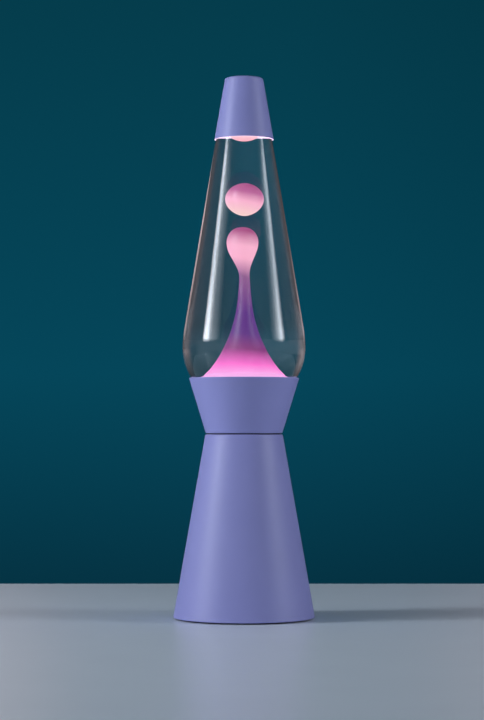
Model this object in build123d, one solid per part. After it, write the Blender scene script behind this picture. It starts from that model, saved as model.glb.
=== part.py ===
from build123d import *
import math
import os

# A lava lamp: a sealed glass bottle of clear liquid and wax stands in a two-cone metal stand, over a
# small bulb that warms it from below. A loose metal cap hides the bottle's mouth.
# Millimetres, +Z up, origin on the supporting surface at the lamp's axis. +Y is the back, where the
# mains lead goes in. Heights are from the supporting surface.

# ---- driving dimensions ---------------------------------------------------------------------------

TOP_Z = 368.0             # top of the cap
EDGE_GAP = 1.0            # from the supporting surface to the base cone's lower edge

# the stand: a base cone and a collar, spun from sheet, joined at a narrow neck
SHEET = 1.0               # wall of both cones
BASE_RADIUS = 48.0        # base cone, outside, at its lower edge
BASE_NECK_RADIUS = 26.3   # base cone, outside, at its top
BASE_TOP_Z = 124.8
HEM_HEIGHT = 5.0          # the lower edge is folded in on itself this far up
NECK_RING_THICKNESS = 0.8
NECK_RING_RADIUS = 25.2
NECK_OPENING = 18.6       # radius of the hole that the bulb shines and passes through
COLLAR_FOOT_RADIUS = 26.0
COLLAR_RIM_RADIUS = 37.5
COLLAR_RIM_Z = 163.2
COLLAR_FOOT_Z = BASE_TOP_Z + NECK_RING_THICKNESS
NECK_RIVETS = 4
NECK_RIVET_RADIUS = 1.2
NECK_RIVET_CIRCLE = 20.6  # radius that the rivets stand on

# the bottle
GLASS = 2.6               # wall
BELLY_RADIUS = 41.8       # widest point, outside
BELLY_Z = 183.6
UPPER_ARC = 80.0          # radius of the outline from the belly up to the straight taper
LOWER_ARC = 38.0          # radius of the outline from the belly down towards the collar
WAIST_ARC = 12.0          # hollow radius that leads into the part inside the collar
WAIST_ANGLE = 32.0        # steepest slope of the outline, from the vertical, just above the waist
TAPER_ANGLE = 9.455       # the long taper's slope, from the vertical
FOOT_ANGLE = 16.7         # slope of the part inside the collar, from the vertical
FOOT_Z = 126.9            # the foot stands a little clear of the collar's floor
FOOT_RING_RADIUS = 22.9   # inner edge of the ring that the foot stands on
PUSH_UP = 2.0             # how far the foot is hollow inside that ring
INNER_FLOOR_Z = 134.5     # the inside of the bottle's floor, at its middle
INNER_HEEL_Z = 131.0      # and at its edge
SHOULDER_Z = 338.0        # where the taper ends
FINISH_RADIUS = 12.9      # the mouth's outside
FINISH_Z = 343.5          # lower end of the straight mouth
MOUTH_Z = 351.5
LOCKING_RING_HEIGHT = 4.6
THROAT_RADIUS = 10.0
LOCKING_RING_RADIUS = 13.3
LIQUID_Z = 342.4

# the crown cap on the mouth, and the loose cap over it
CROWN_SHEET = 0.4
CROWN_SKIRT_RADIUS = 13.45   # inside, over the locking ring
CROWN_FLARE = 0.9
CROWN_SKIRT_Z = 346.2
CROWN_FLUTES = 21
LINER_THICKNESS = 0.6
CAP_SHEET = 0.65
CAP_RIM_Z = 325.9
CAP_RIM_RADIUS = 20.2
CAP_TOP_RADIUS = 12.95

# the wax
COLUMN_TOP_Z = 263.8
COLUMN_HEAD_RADIUS = 8.15
COLUMN_HEAD_Z = 253.2
BLOB_RADIUS = 9.8         # the free blob half way up
BLOB_HALF_HEIGHT = 11.3
BLOB_Z = 282.8
TOP_BLOB_RADIUS = 9.6     # the blob that floats at the surface, under the cap
TOP_BLOB_Z = 332.5
BLOB_TRAVEL_DOWN = 6.0
LANE_GAP = 0.4            # the clear way that the blobs move in is this much wider than they are
COIL_RING_RADIUS = 13.0   # the wire coil lies in the wax as a ring of this radius
COIL_TURN_RADIUS = 4.0
COIL_WIRE_RADIUS = 0.45
COIL_TURNS = 30
COIL_Z = 139.4

# the bulb and its socket
BULB_RADIUS = 17.5
BULB_TOP_Z = 112.0
BULB_GLASS = 0.8
BULB_NECK_RADIUS = 7.0
BULB_NECK_Z = 74.0        # where the bulb starts to widen
SHELL_CREST_RADIUS = 8.3
SHELL_ROOT_RADIUS = 7.7
SHELL_INNER_RADIUS = 7.2
SHELL_Z = 55.5
SHELL_THREADS = 5
THREAD_PITCH = 2.822      # nine threads to the inch
TIP_Z = 51.4
TIP_TOP_Z = 52.6
SOCKET_RADIUS = 13.0
SOCKET_TOP_Z = 73.0
SOCKET_CAVITY_RADIUS = 9.6
SOCKET_FLOOR_Z = 46.0
SOCKET_SHELL_RADIUS = 8.6    # inside
TERMINAL_Z = 43.0
TERMINAL_SCREW_RADIUS = 1.5
STEM_TOP_Z = 84.0
FILAMENT_Z = 97.0
FILAMENT_RADIUS = 6.5
FILAMENT_GAP = 50.0       # degrees of its ring that are open, between the leads

# what carries the socket
PLATE_RADIUS = 44.7
PLATE_Z = 6.8             # underside of the bottom plate
PLATE_THICKNESS = 1.0
BRACKET_TOP_Z = 31.2
BRACKET_SHEET = 1.2
BRACKET_WIDTH = 14.0
BRACKET_RIVET_RADIUS = 1.6
BRACKET_RIVET_X = 25.0
NIPPLE_RADIUS = 4.8
NIPPLE_BORE = 3.4
NUT_FLATS = 14.0
NUT_THICKNESS = 3.0
FOOT_PADS = 4
FOOT_PAD_RADIUS = 5.0
FOOT_PAD_CIRCLE = 36.0
SCREW_ANGLES = (30, 150, 270)   # the plate's screws and the lugs that take them
SCREW_CIRCLE = 40.0
SCREW_RADIUS = 1.5
LUG_WIDTH = 10.0
FIT = 0.05                # radial gap of a screwed or pushed-in piece

# the lead's gland, square to the base cone's wall
GLAND_Z = 20.0
GLAND_BORE = 3.3
GLAND_RADIUS = 5.0
GLAND_FLANGE_RADIUS = 6.5
GLAND_FLANGE = 1.8
GLAND_DEPTH = 8.0

# ---- worked-out values ----------------------------------------------------------------------------

BASE_SLOPE = (BASE_RADIUS - BASE_NECK_RADIUS) / (BASE_TOP_Z - EDGE_GAP)
COLLAR_SLOPE = (COLLAR_RIM_RADIUS - COLLAR_FOOT_RADIUS) / (COLLAR_RIM_Z - COLLAR_FOOT_Z)
CAP_SLOPE = (CAP_RIM_RADIUS - CAP_TOP_RADIUS) / (TOP_Z - CAP_RIM_Z)
PLATE_TOP_Z = PLATE_Z + PLATE_THICKNESS
COLLAR_FLOOR_Z = COLLAR_FOOT_Z + SHEET
NUT_TOP_Z = BRACKET_TOP_Z + NUT_THICKNESS
CROWN_TOP_Z = MOUTH_Z + LINER_THICKNESS + CROWN_SHEET


def level_wall(sheet, slope):
    """A sloping sheet's thickness measured level."""
    return sheet * math.hypot(1, slope)


def base_radius(z):
    """The base cone's outer radius at a height."""
    return BASE_RADIUS - BASE_SLOPE * (z - EDGE_GAP)


def base_inner_radius(z):
    return base_radius(z) - level_wall(SHEET, BASE_SLOPE)


# ---- helpers --------------------------------------------------------------------------------------

def spun(face):
    """A solid turned about Z from a flat face, drawn with x as radius and y as height."""
    return revolve(Plane.XZ * face, Axis.Z)


def turned_edges(edges):
    """A solid turned about Z from edges that close."""
    return spun(make_face(edges))


def turned(*corners):
    """A solid turned about Z. Each corner is (radius, height) or (radius, height, rounding)."""
    points = [corner[:2] for corner in corners]
    roundings = [corner[2] if len(corner) > 2 else 0 for corner in corners]
    if any(roundings):
        outline = FilletPolyline(*points, radius=roundings, close=True)
    else:
        outline = Polyline(*points, close=True)
    return spun(make_face(outline))


def ring(inner, outer, low, high):
    return turned((inner, low), (outer, low), (outer, high), (inner, high))


def post(radius, low, high):
    return Pos(0, 0, (low + high) / 2) * Cylinder(radius, high - low)


def around(shape, angles, radius):
    """Copies of a shape, each turned about Z after it's moved out along X."""
    return [Rot(0, 0, angle) * Pos(radius, 0, 0) * shape for angle in angles]


def spaced(count, first=0.0):
    return [first + 360.0 * i / count for i in range(count)]


def rod(start, end, radius):
    """A straight round wire between two points."""
    line = Line(start, end)
    return sweep(Plane(origin=start, z_dir=line % 0) * Circle(radius), path=line)


def strip(points, thickness, width):
    """A bent strip: points are (x, z) along its middle, and its width runs along Y."""
    middle = Polyline(*points)
    return extrude(Plane.XZ * trace(middle, thickness), width / 2, both=True)


def hex_nut(flats, bore, low, high):
    """A hexagon nut, with its thread drawn as a plain bore."""
    block = Pos(0, 0, low) * extrude(RegularPolygon(flats / 2, 6, major_radius=False), high - low)
    return block - post(bore, low - 1, high + 1)


def rivet(radius, head_radius, head_height, low, high):
    """A rivet through sheets from low to high, with a rounded head at each end."""
    rounding = 0.6 * head_height
    return turned(
        (0, low - head_height), (head_radius, low - head_height, rounding), (head_radius, low),
        (radius, low), (radius, high), (head_radius, high),
        (head_radius, high + head_height, rounding), (0, high + head_height),
    )


def polar(centre, radius, degrees):
    return (
        centre[0] + radius * math.cos(math.radians(degrees)),
        centre[1] + radius * math.sin(math.radians(degrees)),
    )


def write(name, shape):
    """Writes one node. A list of solids is one node of separate solids."""
    if isinstance(shape, (list, tuple)):
        shape = Compound(children=[Solid(s.solid().wrapped) for s in shape])
    export_step(shape, os.path.join("parts", name + ".step"))


# ---- the stand ------------------------------------------------------------------------------------

def gland_plane():
    """The plane that touches the base cone's wall at the gland, facing out and back."""
    lean = math.atan(BASE_SLOPE)
    return Plane(
        origin=(0, base_radius(GLAND_Z), GLAND_Z),
        x_dir=(1, 0, 0),
        z_dir=(0, math.cos(lean), math.sin(lean)),
    )


def base_cone():
    hem_z = EDGE_GAP + HEM_HEIGHT
    wall = level_wall(SHEET, BASE_SLOPE)
    under_flange_z = BASE_TOP_Z - SHEET
    shell = turned(
        (BASE_RADIUS, EDGE_GAP, 0.4),
        (BASE_NECK_RADIUS, BASE_TOP_Z, 0.8),
        (NECK_OPENING, BASE_TOP_Z),
        (NECK_OPENING, under_flange_z),
        (base_inner_radius(under_flange_z), under_flange_z, 0.5),
        (base_inner_radius(hem_z), hem_z),
        (base_inner_radius(hem_z) - wall, hem_z, 0.4),
        (base_inner_radius(EDGE_GAP) - wall, EDGE_GAP, 0.4),
    )
    hole = gland_plane() * Cylinder(GLAND_RADIUS + FIT, 3 * GLAND_FLANGE)
    return shell - hole - rivet_holes(under_flange_z - 1, BASE_TOP_Z + 1)


def rivet_holes(low, high):
    hole = post(NECK_RIVET_RADIUS + FIT, low, high)
    return around(hole, spaced(NECK_RIVETS, 45), NECK_RIVET_CIRCLE)


def neck_ring():
    shape = ring(NECK_OPENING, NECK_RING_RADIUS, BASE_TOP_Z, COLLAR_FOOT_Z)
    return shape - rivet_holes(BASE_TOP_Z - 1, COLLAR_FOOT_Z + 1)


def neck_rivets():
    shape = rivet(NECK_RIVET_RADIUS, 1.8, 0.7, BASE_TOP_Z - SHEET, COLLAR_FLOOR_Z)
    return around(shape, spaced(NECK_RIVETS, 45), NECK_RIVET_CIRCLE)


def collar():
    wall = level_wall(SHEET, COLLAR_SLOPE)
    floor_radius = COLLAR_FOOT_RADIUS + COLLAR_SLOPE * SHEET - wall
    shell = turned(
        (COLLAR_FOOT_RADIUS, COLLAR_FOOT_Z, 0.8),
        (COLLAR_RIM_RADIUS, COLLAR_RIM_Z, 0.4),
        (COLLAR_RIM_RADIUS - wall, COLLAR_RIM_Z, 0.4),
        (floor_radius, COLLAR_FLOOR_Z, 0.5),
        (NECK_OPENING, COLLAR_FLOOR_Z),
        (NECK_OPENING, COLLAR_FOOT_Z),
    )
    return shell - rivet_holes(COLLAR_FOOT_Z - 1, COLLAR_FLOOR_Z + 1)


def bottom_plate():
    """A disc with vents, and holes for the feet, the screws, the bracket and the air."""
    plate = ring(6.0, PLATE_RADIUS, PLATE_Z, PLATE_TOP_Z)
    low, high = PLATE_Z - 1, PLATE_TOP_Z + 1
    vent = Pos(0, 0, low) * extrude(SlotOverall(14.0, 3.6), high - low)
    vent_angles = [a for a in spaced(12) if a not in (0, 180)]
    plate -= around(vent, vent_angles, 22.0)
    plate -= around(post(2.0 + FIT, low, high), spaced(FOOT_PADS, 45), FOOT_PAD_CIRCLE)
    plate -= around(post(SCREW_RADIUS + 0.2, low, high), SCREW_ANGLES, SCREW_CIRCLE)
    plate -= around(post(BRACKET_RIVET_RADIUS + FIT, low, high), (0, 180), BRACKET_RIVET_X)
    return plate


def plate_lugs():
    """Small angle brackets welded inside the base cone, threaded for the plate's screws."""
    leg_top_z = PLATE_TOP_Z + 12.0
    inside = turned(
        (0, PLATE_TOP_Z), (base_inner_radius(PLATE_TOP_Z), PLATE_TOP_Z),
        (base_inner_radius(leg_top_z), leg_top_z), (0, leg_top_z),
    )
    hollow = turned(
        (0, PLATE_TOP_Z + 1.2), (base_inner_radius(PLATE_TOP_Z + 1.2) - 1.2, PLATE_TOP_Z + 1.2, 0.8),
        (base_inner_radius(leg_top_z) - 1.2, leg_top_z), (0, leg_top_z),
    )
    reach = 10.5
    middle = (PLATE_TOP_Z + leg_top_z) / 2
    block = Pos(SCREW_CIRCLE + 0.5, 0, middle) * Box(2 * reach, LUG_WIDTH, leg_top_z - PLATE_TOP_Z)
    lug = (block & inside) - hollow
    lug -= Pos(SCREW_CIRCLE, 0, 0) * post(SCREW_RADIUS + FIT, PLATE_Z, leg_top_z)
    return [Rot(0, 0, angle) * lug for angle in SCREW_ANGLES]


def plate_screws():
    head = 2.0
    screw = turned(
        (0, PLATE_Z - head), (2.8, PLATE_Z - head, 0.9), (2.8, PLATE_Z), (SCREW_RADIUS, PLATE_Z),
        (SCREW_RADIUS, PLATE_Z + 6.0, 0.3), (0, PLATE_Z + 6.0),
    )
    slot = Pos(0, 0, PLATE_Z - head) * (Box(3.6, 0.8, 1.8) + Box(0.8, 3.6, 1.8))
    return around(screw - slot, SCREW_ANGLES, SCREW_CIRCLE)


def rubber_feet():
    """Push-in feet: a round pad under the plate, a stem through it and a barb above it."""
    foot = turned(
        (0, 0), (FOOT_PAD_RADIUS - 0.6, 0, 0.6), (FOOT_PAD_RADIUS, PLATE_Z, 0.5), (2.0, PLATE_Z),
        (2.0, PLATE_TOP_Z), (2.7, PLATE_TOP_Z), (1.4, PLATE_TOP_Z + 2.2, 0.4), (0, PLATE_TOP_Z + 2.2),
    )
    return around(foot, spaced(FOOT_PADS, 45), FOOT_PAD_CIRCLE)


def cord_gland():
    """A round bush with a flange outside the wall. Its bore takes the mains lead."""
    bush = turned(
        (GLAND_BORE, -GLAND_DEPTH), (GLAND_RADIUS, -GLAND_DEPTH, 0.4), (GLAND_RADIUS, 0),
        (GLAND_FLANGE_RADIUS, 0, 0.3), (GLAND_FLANGE_RADIUS, GLAND_FLANGE, 0.8),
        (GLAND_BORE, GLAND_FLANGE),
    )
    return gland_plane() * bush


def gland_nut():
    """Holds the gland from inside. It starts where the cone's curved wall lets its flat face lie."""
    near = -1.7
    return gland_plane() * hex_nut(13.0, GLAND_RADIUS + FIT, near - NUT_THICKNESS, near)


# ---- the socket -----------------------------------------------------------------------------------

def socket_bracket():
    """A bent strip that stands on the bottom plate and carries the socket."""
    low, high = PLATE_TOP_Z + BRACKET_SHEET / 2, BRACKET_TOP_Z - BRACKET_SHEET / 2
    half = [(30.0, low), (18.0, low), (14.5, high)]
    middle = [(-x, z) for x, z in half] + half[::-1]
    shape = strip(middle, BRACKET_SHEET, BRACKET_WIDTH)
    shape -= post(NIPPLE_RADIUS + 0.2, high - 3, high + 3)
    shape -= around(post(BRACKET_RIVET_RADIUS + FIT, low - 3, low + 3), (0, 180), BRACKET_RIVET_X)
    return shape


def bracket_rivets():
    shape = rivet(BRACKET_RIVET_RADIUS, 2.6, 0.9, PLATE_Z, PLATE_TOP_Z + BRACKET_SHEET)
    return around(shape, (0, 180), BRACKET_RIVET_X)


def socket_nipple():
    """The hollow threaded rod that the leads come up through."""
    return ring(NIPPLE_BORE, NIPPLE_RADIUS, BRACKET_TOP_Z - 5.4, SOCKET_FLOOR_Z - 3.0)


def nipple_nuts():
    bore = NIPPLE_RADIUS + FIT
    under = BRACKET_TOP_Z - BRACKET_SHEET
    return [
        hex_nut(NUT_FLATS, bore, under - NUT_THICKNESS, under),
        hex_nut(NUT_FLATS, bore, BRACKET_TOP_Z, NUT_TOP_Z),
    ]


def socket_body():
    """The moulded insulating body, with the bulb's cavity above and the nipple's hole below."""
    body = turned(
        (NIPPLE_RADIUS + FIT, NUT_TOP_Z), (SOCKET_RADIUS - 3.0, NUT_TOP_Z, 1.0),
        (SOCKET_RADIUS, NUT_TOP_Z + 5.0, 2.0), (SOCKET_RADIUS, SOCKET_TOP_Z, 1.2),
        (SOCKET_CAVITY_RADIUS, SOCKET_TOP_Z, 0.5), (SOCKET_CAVITY_RADIUS, SOCKET_FLOOR_Z),
        (NIPPLE_RADIUS + FIT, SOCKET_FLOOR_Z),
    )
    hole = Pos(0, 0, TERMINAL_Z) * Rot(0, 90, 0) * Cylinder(TERMINAL_SCREW_RADIUS + FIT, 4 * SOCKET_RADIUS)
    grip = [Rot(0, 0, a) * Pos(SOCKET_RADIUS + 0.5, 0, 65.0) * Cylinder(1.0, 12.0) for a in spaced(24)]
    return body - hole - grip


def terminal_screws():
    """A brass screw on each side of the socket, for the two leads."""
    under, top = SOCKET_RADIUS + 0.1, SOCKET_RADIUS + 1.6
    screw = turned(
        (0, 8.4), (TERMINAL_SCREW_RADIUS, 8.4), (TERMINAL_SCREW_RADIUS, under), (3.0, under),
        (3.0, top, 0.4), (0, top),
    )
    screw -= Pos(0, 0, top) * Box(7.0, 0.8, 1.4)
    return [Rot(0, 0, a) * Pos(0, 0, TERMINAL_Z) * Rot(0, 90, 0) * screw for a in (0, 180)]


def socket_shell():
    """The brass shell that grips the bulb's thread, flared at its mouth."""
    inner, outer = SOCKET_SHELL_RADIUS, SOCKET_SHELL_RADIUS + 0.5
    low, high = TIP_TOP_Z, SOCKET_TOP_Z - 2.5
    return turned(
        (inner, low), (SOCKET_CAVITY_RADIUS, low), (SOCKET_CAVITY_RADIUS, low + 0.5),
        (outer, low + 0.5), (outer, high - 1.2), (SOCKET_CAVITY_RADIUS, high - 0.4),
        (SOCKET_CAVITY_RADIUS, high), (inner, high - 1.6),
    )


def socket_contact():
    """The brass spring under the bulb's tip."""
    half = 0.25
    low, high = SOCKET_FLOOR_Z + half, TIP_Z - 0.15 - half
    tongue = strip([(8.6, low), (5.4, low), (2.6, high), (-2.6, high)], 2 * half, 5.0)
    return tongue


# ---- the bulb -------------------------------------------------------------------------------------

def bulb_outline(inset):
    """The glass envelope's outline from its open end to its top, moved in by inset."""
    centre = (0, BULB_TOP_Z - BULB_RADIUS)
    neck, wide = BULB_NECK_RADIUS - inset, BULB_RADIUS - inset
    return [
        Line((neck, SHELL_Z + 1.0), (neck, BULB_NECK_Z)),
        Spline([(neck, BULB_NECK_Z), (wide, centre[1])], tangents=[(0, 1), (0, 1)]),
        CenterArc(centre, wide, 0, 90),
    ]


def bulb_glass():
    outside, inside = bulb_outline(0), bulb_outline(BULB_GLASS)
    ends = [Line(outside[0] @ 0, inside[0] @ 0), Line(outside[-1] @ 1, inside[-1] @ 1)]
    return turned_edges(outside + inside + ends)


def bulb_shell():
    """The metal screw shell. Its thread is drawn as rings of the thread's pitch and depth."""
    crest, root = SHELL_CREST_RADIUS, SHELL_ROOT_RADIUS
    middle = (crest + root) / 2
    edges, z = [], SHELL_Z
    for _ in range(SHELL_THREADS):
        for bulge in (crest, root):
            step = THREAD_PITCH / 2
            edges.append(ThreePointArc((middle, z), (bulge, z + step / 2), (middle, z + step)))
            z += step
    top = z + 1.4
    edges.append(Polyline(
        (middle, z), (middle, top), (SHELL_INNER_RADIUS, top),
        (SHELL_INNER_RADIUS, SHELL_Z), (middle, SHELL_Z),
    ))
    return turned_edges(edges)


def bulb_insulator():
    """The dark glass that fills the shell's lower end, round the tip."""
    return turned(
        (0, TIP_TOP_Z), (3.4, TIP_TOP_Z), (SHELL_INNER_RADIUS, SHELL_Z, 0.5),
        (SHELL_INNER_RADIUS, SHELL_Z + 0.9), (0, SHELL_Z + 0.9),
    )


def bulb_tip():
    return turned((0, TIP_Z), (2.4, TIP_Z, 0.6), (3.2, TIP_TOP_Z), (0, TIP_TOP_Z))


def bulb_stem():
    """The glass rod inside the bulb that holds the leads and the supports."""
    return turned(
        (0, SHELL_Z + 1.0), (5.8, SHELL_Z + 1.0), (5.8, SHELL_Z + 4.0), (2.6, SHELL_Z + 14.0, 3.0),
        (2.6, STEM_TOP_Z, 1.2), (0, STEM_TOP_Z),
    )


def filament():
    """The coiled wire, drawn as its round outer shape, most of a ring about the axis."""
    section = Plane.XZ * Pos(FILAMENT_RADIUS, FILAMENT_Z) * Circle(0.45)
    ring_part = revolve(section, Axis.Z, 360 - FILAMENT_GAP)
    return Rot(0, 0, FILAMENT_GAP / 2) * ring_part


def filament_wires():
    """Two leads to the filament's ends and two supports part way round it."""
    wires = []
    for angle, reach in ((23, 0), (-23, 0), (130, 0.75), (230, 0.75)):
        turn = math.radians(angle)
        start = (1.5 * math.cos(turn), 1.5 * math.sin(turn), STEM_TOP_Z)
        outer = FILAMENT_RADIUS - 0.2 + reach
        end = (outer * math.cos(turn), outer * math.sin(turn), FILAMENT_Z - 0.8)
        wires.append(rod(start, end, 0.25))
    return wires


# ---- the bottle and what is in it -----------------------------------------------------------------

def bottle_side(inset):
    """The bottle's outline from inside the collar up to the shoulder, moved in by inset."""
    belly = (BELLY_RADIUS - LOWER_ARC, BELLY_Z)
    waist = polar(belly, LOWER_ARC + WAIST_ARC, -WAIST_ANGLE)
    upper = (BELLY_RADIUS - UPPER_ARC, BELLY_Z)
    hollow = CenterArc(waist, WAIST_ARC + inset, 180 - FOOT_ANGLE, FOOT_ANGLE - WAIST_ANGLE)
    bulge = CenterArc(belly, LOWER_ARC - inset, -WAIST_ANGLE, WAIST_ANGLE)
    rise = CenterArc(upper, UPPER_ARC - inset, 0, TAPER_ANGLE)
    low = hollow @ 0
    drop = low.Y - FOOT_Z
    foot = (low.X - drop * math.tan(math.radians(FOOT_ANGLE)), FOOT_Z)
    high = rise @ 1
    lift = SHOULDER_Z - high.Y
    shoulder = (high.X - lift * math.tan(math.radians(TAPER_ANGLE)), SHOULDER_Z)
    return foot, [Line(foot, low), hollow, bulge, rise, Line(high, shoulder)], shoulder


def rounded(face, corners):
    """Rounds corners of a flat face: corners are (x, y, rounding)."""
    for x, y, rounding in corners:
        corner = face.vertices().sort_by_distance((x, y, 0))[0]
        face = face.fillet_2d(rounding, [corner])
    return face


def bottle_outside():
    """Half of the bottle's outline as a flat face, with nothing hollow yet."""
    foot, side, shoulder = bottle_side(0)
    top = Polyline(
        shoulder, (FINISH_RADIUS, FINISH_Z), (FINISH_RADIUS, MOUTH_Z - LOCKING_RING_HEIGHT),
        (LOCKING_RING_RADIUS, MOUTH_Z - LOCKING_RING_HEIGHT + 0.5), (LOCKING_RING_RADIUS, MOUTH_Z - 1.6),
        (FINISH_RADIUS - 0.6, MOUTH_Z), (0, MOUTH_Z), (0, FOOT_Z + PUSH_UP + 1.5),
        (FOOT_RING_RADIUS - PUSH_UP, FOOT_Z + PUSH_UP), (FOOT_RING_RADIUS, FOOT_Z), foot,
    )
    return rounded(make_face(side + [top]).face(), [
        (*foot, 1.4), (*shoulder, 6.0), (FINISH_RADIUS, FINISH_Z, 2.0), (FOOT_RING_RADIUS, FOOT_Z, 0.4),
    ])


def bottle_inside():
    """Half of the space inside the glass, up through the mouth, as a flat face."""
    foot, side, shoulder = bottle_side(GLASS)
    heel = (foot[0] + (INNER_HEEL_Z - FOOT_Z) * math.tan(math.radians(FOOT_ANGLE)), INNER_HEEL_Z)
    first = Line(heel, side[0] @ 1)
    top = Polyline(
        shoulder, (THROAT_RADIUS, FINISH_Z), (THROAT_RADIUS, MOUTH_Z + 1), (0, MOUTH_Z + 1),
        (0, INNER_FLOOR_Z), heel,
    )
    return rounded(make_face([first] + side[1:] + [top]).face(), [
        (*heel, 3.0), (*shoulder, 4.0), (THROAT_RADIUS, FINISH_Z, 3.0),
    ])


def bottle():
    return spun(bottle_outside() - bottle_inside())


def slab(radius, low, high):
    """A flat face from the axis out to a radius, between two heights."""
    return Pos(radius / 2, (low + high) / 2) * Rectangle(radius, high - low)


def wax_outline():
    """Half of the pool on the bottle's floor, the mound on it and the plume with its round head."""
    crown_radius = 7.3
    crown = CenterArc((0, COLUMN_TOP_Z - crown_radius), crown_radius, 40, 50)
    edge = (33.0, 157.0)
    flank = Spline(
        [edge, (22.0, 169.0), (13.3, 178.6), (7.9, 191.0), (4.6, 203.5), (2.9, 221.0), (2.8, 231.0),
         (4.5, 239.8), (COLUMN_HEAD_RADIUS, COLUMN_HEAD_Z), crown @ 0],
        tangents=[(-1, 0.8), crown % 0],
    )
    rest = Polyline(crown @ 1, (0, FOOT_Z), (50.0, FOOT_Z), (50.0, edge[1] - 1), edge)
    return make_face([flank, crown, rest]) & bottle_inside()


def wax_column():
    """The wax at the bottom, with a round channel in it for the coil."""
    channel = Pos(COIL_RING_RADIUS, COIL_Z) * Circle(COIL_TURN_RADIUS + COIL_WIRE_RADIUS + 0.15)
    return spun(wax_outline() - channel)


def wax_coil():
    """A wire coil bent into a ring, drawn as its separate turns."""
    turn = Rot(90, 0, 0) * Torus(COIL_TURN_RADIUS, COIL_WIRE_RADIUS)
    return [Pos(0, 0, COIL_Z) * t for t in around(turn, spaced(COIL_TURNS), COIL_RING_RADIUS)]


def egg(radius, half_height, z):
    """A round blob, taller than it is wide."""
    side = EllipticalCenterArc((0, z), radius, half_height, -90, arc_size=180)
    return turned_edges([side, Line(side @ 1, side @ 0)])


def wax_blob():
    return egg(BLOB_RADIUS, BLOB_HALF_HEIGHT, BLOB_Z)


def top_wax_blob():
    return Pos(0, 0, TOP_BLOB_Z) * Sphere(TOP_BLOB_RADIUS)


def liquid():
    """All the liquid round the wax, with a round lane on the axis for the blobs to move in."""
    lane_low = BLOB_Z - BLOB_HALF_HEIGHT - BLOB_TRAVEL_DOWN - LANE_GAP
    lane_change = TOP_BLOB_Z - TOP_BLOB_RADIUS - 14.0
    fill = bottle_inside() & slab(2 * BELLY_RADIUS, FOOT_Z, LIQUID_Z)
    fill -= slab(BLOB_RADIUS + LANE_GAP, lane_low, lane_change)
    fill -= slab(TOP_BLOB_RADIUS + LANE_GAP, lane_change - 1, LIQUID_Z + 1)
    return spun(fill - wax_outline())


def crown_cap():
    """The pressed metal closure, its skirt crimped into flutes."""
    inner, outer = CROWN_SKIRT_RADIUS, CROWN_SKIRT_RADIUS + CROWN_SHEET
    under = CROWN_TOP_Z - CROWN_SHEET
    crown = turned(
        (0, CROWN_TOP_Z), (outer, CROWN_TOP_Z, 1.2), (outer, CROWN_SKIRT_Z + 2.4, 1.0),
        (outer + CROWN_FLARE, CROWN_SKIRT_Z), (inner + CROWN_FLARE, CROWN_SKIRT_Z),
        (inner, CROWN_SKIRT_Z + 2.4, 1.0), (inner, under, 0.8), (0, under),
    )
    flute = Pos(0, 0, CROWN_SKIRT_Z) * Rot(0, -12, 0) * Cylinder(0.9, 6.4)
    return crown - around(flute, spaced(CROWN_FLUTES), outer + CROWN_FLARE + 0.35)


def crown_liner():
    """The soft disc that seals the mouth."""
    return post(CROWN_SKIRT_RADIUS - 0.9, MOUTH_Z, MOUTH_Z + LINER_THICKNESS)


def cap():
    """The loose cap, a thin cone shut at the top, whose rim stands just clear of the glass."""
    wall = level_wall(CAP_SHEET, CAP_SLOPE)
    under = TOP_Z - CAP_SHEET
    return turned(
        (CAP_RIM_RADIUS, CAP_RIM_Z, 0.2), (CAP_TOP_RADIUS, TOP_Z, 1.5), (0, TOP_Z), (0, under),
        (CAP_TOP_RADIUS + CAP_SLOPE * CAP_SHEET - wall, under, 0.9), (CAP_RIM_RADIUS - wall, CAP_RIM_Z, 0.2),
    )


# ---- writing the parts ----------------------------------------------------------------------------

os.makedirs("parts", exist_ok=True)
pieces = {
    "base_cone": base_cone(),
    "neck_ring": neck_ring(),
    "neck_rivets": neck_rivets(),
    "collar": collar(),
    "bottom_plate": bottom_plate(),
    "plate_lugs": plate_lugs(),
    "plate_screws": plate_screws(),
    "rubber_feet": rubber_feet(),
    "cord_gland": cord_gland(),
    "gland_nut": gland_nut(),
    "socket_bracket": socket_bracket(),
    "bracket_rivets": bracket_rivets(),
    "socket_nipple": socket_nipple(),
    "nipple_nuts": nipple_nuts(),
    "socket_body": socket_body(),
    "socket_shell": socket_shell(),
    "socket_contact": socket_contact(),
    "terminal_screws": terminal_screws(),
    "bulb_glass": bulb_glass(),
    "bulb_shell": bulb_shell(),
    "bulb_insulator": bulb_insulator(),
    "bulb_tip": bulb_tip(),
    "bulb_stem": bulb_stem(),
    "bulb_filament": filament(),
    "filament_wires": filament_wires(),
    "bottle": bottle(),
    "liquid": liquid(),
    "wax_column": wax_column(),
    "wax_blob": wax_blob(),
    "top_wax_blob": top_wax_blob(),
    "wax_coil": wax_coil(),
    "crown_cap": crown_cap(),
    "crown_liner": crown_liner(),
    "cap": cap(),
}
for name, shape in pieces.items():
    write(name, shape)
print(len(pieces), "nodes written")
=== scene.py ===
# %% [markdown]
# # A lava lamp
# The lamp is a sealed glass bottle of clear liquid and wax. It stands in a waisted metal stand, over a
# small bulb that warms and lights it from below, and a loose metal cap hides its mouth.
# The frame holds every part at its real size and place. This lesson gives each part its finish, and
# makes afresh the few parts whose looks need more than a machined shape: the glass, the liquid, the
# wax, the coil in the wax, the crimped crown and the bulb.

# %% Load the frame
import math

import bmesh
import bpy
from mathutils import Matrix, Vector


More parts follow.
